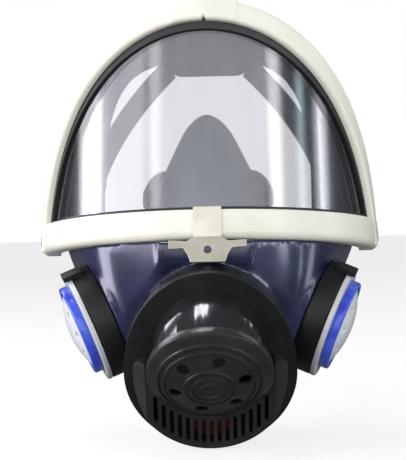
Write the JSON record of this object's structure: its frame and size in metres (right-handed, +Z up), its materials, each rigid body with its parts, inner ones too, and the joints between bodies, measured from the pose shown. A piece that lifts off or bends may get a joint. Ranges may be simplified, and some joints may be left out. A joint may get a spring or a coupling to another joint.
{
  "type": "full face respirator",
  "caption": "Full face respirator with a wraparound window, a tilted speech unit over a slotted exhalation cover, side filters and a head harness.",
  "frame": {"origin": "middle of the face opening, in the plane of the face seal", "axes": "+Z up on an upright wearer, -Y the way the wearer looks, +X to the viewer's right from the front"},
  "size_m": [0.193, 0.3019, 0.2599],
  "materials": {
    "silicone": "glossy moulded silicone",
    "seal_rubber": "matt black rubber",
    "lens": "clear polycarbonate",
    "frame_cream": "satin cream plastic",
    "steel": "plain steel fasteners",
    "clip_metal": "nickel plated spring steel",
    "housing_black": "fine textured black plastic",
    "clamp_metal": "black coated steel band",
    "barrel_gloss": "polished dark grey plastic",
    "cap_black": "matt black plastic",
    "collar_black": "satin black plastic",
    "film": "thin polymer film",
    "flap_rubber": "thin pale silicone",
    "seat_plastic": "grey moulded plastic",
    "cup_silicone": "smooth slate silicone",
    "filter_white": "white moulded plastic",
    "filter_grey": "pale grey moulded plastic",
    "filter_blue": "deep blue plastic",
    "filter_paper": "pleated filter medium",
    "strap_rubber": "ribbed black rubber strap",
    "buckle_black": "black nylon",
    "lever_steel": "stamped steel lever"
  },
  "bodies": {
    "mask": {"facepiece": "silicone", "visor": "lens", "visor_seal": "seal_rubber", "upper_frame": "frame_cream", "lower_frame": "frame_cream", "frame_screws": "steel", "frame_nuts": "steel", "frame_clip": "clip_metal", "front_housing": "housing_black", "neck_clamp": "clamp_metal", "clamp_screw": "steel", "speech_barrel": "barrel_gloss", "diaphragm_seal": "seal_rubber", "speech_diaphragm": "film", "diaphragm_ring": "collar_black", "exhalation_seat": "seat_plastic", "port_collar_left": "collar_black", "port_collar_right": "collar_black", "port_gasket_left": "seal_rubber", "port_gasket_right": "seal_rubber", "inhalation_seat_left": "seat_plastic", "inhalation_seat_right": "seat_plastic", "nose_cup": "cup_silicone", "nose_cup_ring": "seat_plastic", "check_seat_left": "seat_plastic", "check_seat_right": "seat_plastic", "head_pad": "strap_rubber", "lever_pins": "steel", "top_strap": "strap_rubber", "temple_left_strap": "strap_rubber", "temple_right_strap": "strap_rubber", "neck_left_strap": "strap_rubber", "neck_right_strap": "strap_rubber", "top_buckle": "buckle_black", "temple_left_buckle": "buckle_black", "temple_right_buckle": "buckle_black", "neck_left_buckle": "buckle_black", "neck_right_buckle": "buckle_black"},
    "speech_cap": {"speech_cap": "cap_black"},
    "exhalation_cover": {"exhalation_cover": "cap_black"},
    "exhalation_flap": {"exhalation_flap": "flap_rubber"},
    "inhalation_flap_left": {"inhalation_flap_left": "flap_rubber"},
    "check_flap_left": {"check_flap_left": "flap_rubber"},
    "filter_left": {"filter_base_left": "filter_grey", "filter_ring_left": "filter_blue", "filter_cover_left": "filter_white", "filter_element_left": "filter_paper"},
    "inhalation_flap_right": {"inhalation_flap_right": "flap_rubber"},
    "check_flap_right": {"check_flap_right": "flap_rubber"},
    "filter_right": {"filter_base_right": "filter_grey", "filter_ring_right": "filter_blue", "filter_cover_right": "filter_white", "filter_element_right": "filter_paper"},
    "top_lever": {"top_lever": "lever_steel"},
    "temple_left_lever": {"temple_left_lever": "lever_steel"},
    "temple_right_lever": {"temple_right_lever": "lever_steel"},
    "neck_left_lever": {"neck_left_lever": "lever_steel"},
    "neck_right_lever": {"neck_right_lever": "lever_steel"}
  },
  "joints": [
    {"name": "cap_twist", "type": "hinge", "parent": "mask", "child": "speech_cap", "pos_m": [0, -0.09261, -0.05829], "axis": [0, -0.7314, -0.682], "range_deg": [0, 40]},
    {"name": "cover_slide", "type": "slide", "parent": "mask", "child": "exhalation_cover", "axis": [0, 0.4226, -0.9063], "range_m": [0, 0.045]},
    {"name": "exhalation_flap_lift", "type": "slide", "parent": "mask", "child": "exhalation_flap", "axis": [0, -0.9063, -0.4226], "range_m": [0, 0.0025], "stiffness_N_per_m": 20},
    {"name": "inhalation_flap_left_lift", "type": "slide", "parent": "mask", "child": "inhalation_flap_left", "axis": [0.9069, 0.1928, 0.3746], "range_m": [0, 0.002], "stiffness_N_per_m": 20},
    {"name": "check_flap_left_lift", "type": "slide", "parent": "mask", "child": "check_flap_left", "axis": [0.621, 0.7011, -0.3505], "range_m": [0, 0.002], "stiffness_N_per_m": 20},
    {"name": "filter_left_twist", "type": "hinge", "parent": "mask", "child": "filter_left", "pos_m": [-0.05529, -0.04889, -0.04685], "axis": [-0.9069, -0.1928, -0.3746], "range_deg": [0, 45]},
    {"name": "inhalation_flap_right_lift", "type": "slide", "parent": "mask", "child": "inhalation_flap_right", "axis": [-0.9069, 0.1928, 0.3746], "range_m": [0, 0.002], "stiffness_N_per_m": 20},
    {"name": "check_flap_right_lift", "type": "slide", "parent": "mask", "child": "check_flap_right", "axis": [-0.621, 0.7011, -0.3505], "range_m": [0, 0.002], "stiffness_N_per_m": 20},
    {"name": "filter_right_twist", "type": "hinge", "parent": "mask", "child": "filter_right", "pos_m": [0.05529, -0.04889, -0.04685], "axis": [0.9069, -0.1928, -0.3746], "range_deg": [0, 45]},
    {"name": "top_release", "type": "hinge", "parent": "mask", "child": "top_lever", "pos_m": [0, 0.01667, 0.12304], "axis": [-1, 0, 0], "range_deg": [0, 60]},
    {"name": "temple_left_release", "type": "hinge", "parent": "mask", "child": "temple_left_lever", "pos_m": [-0.08335, 0.01757, 0.0566], "axis": [0.0198, 0.4979, -0.867], "range_deg": [0, 60]},
    {"name": "temple_right_release", "type": "hinge", "parent": "mask", "child": "temple_right_lever", "pos_m": [0.08335, 0.01757, 0.0566], "axis": [0.0198, -0.4979, 0.867], "range_deg": [0, 60]},
    {"name": "neck_left_release", "type": "hinge", "parent": "mask", "child": "neck_left_lever", "pos_m": [-0.06785, 0.01579, -0.04505], "axis": [0.3642, 0.631, -0.685], "range_deg": [0, 60]},
    {"name": "neck_right_release", "type": "hinge", "parent": "mask", "child": "neck_right_lever", "pos_m": [0.06785, 0.01579, -0.04505], "axis": [0.3642, -0.631, 0.685], "range_deg": [0, 60]}
  ]
}
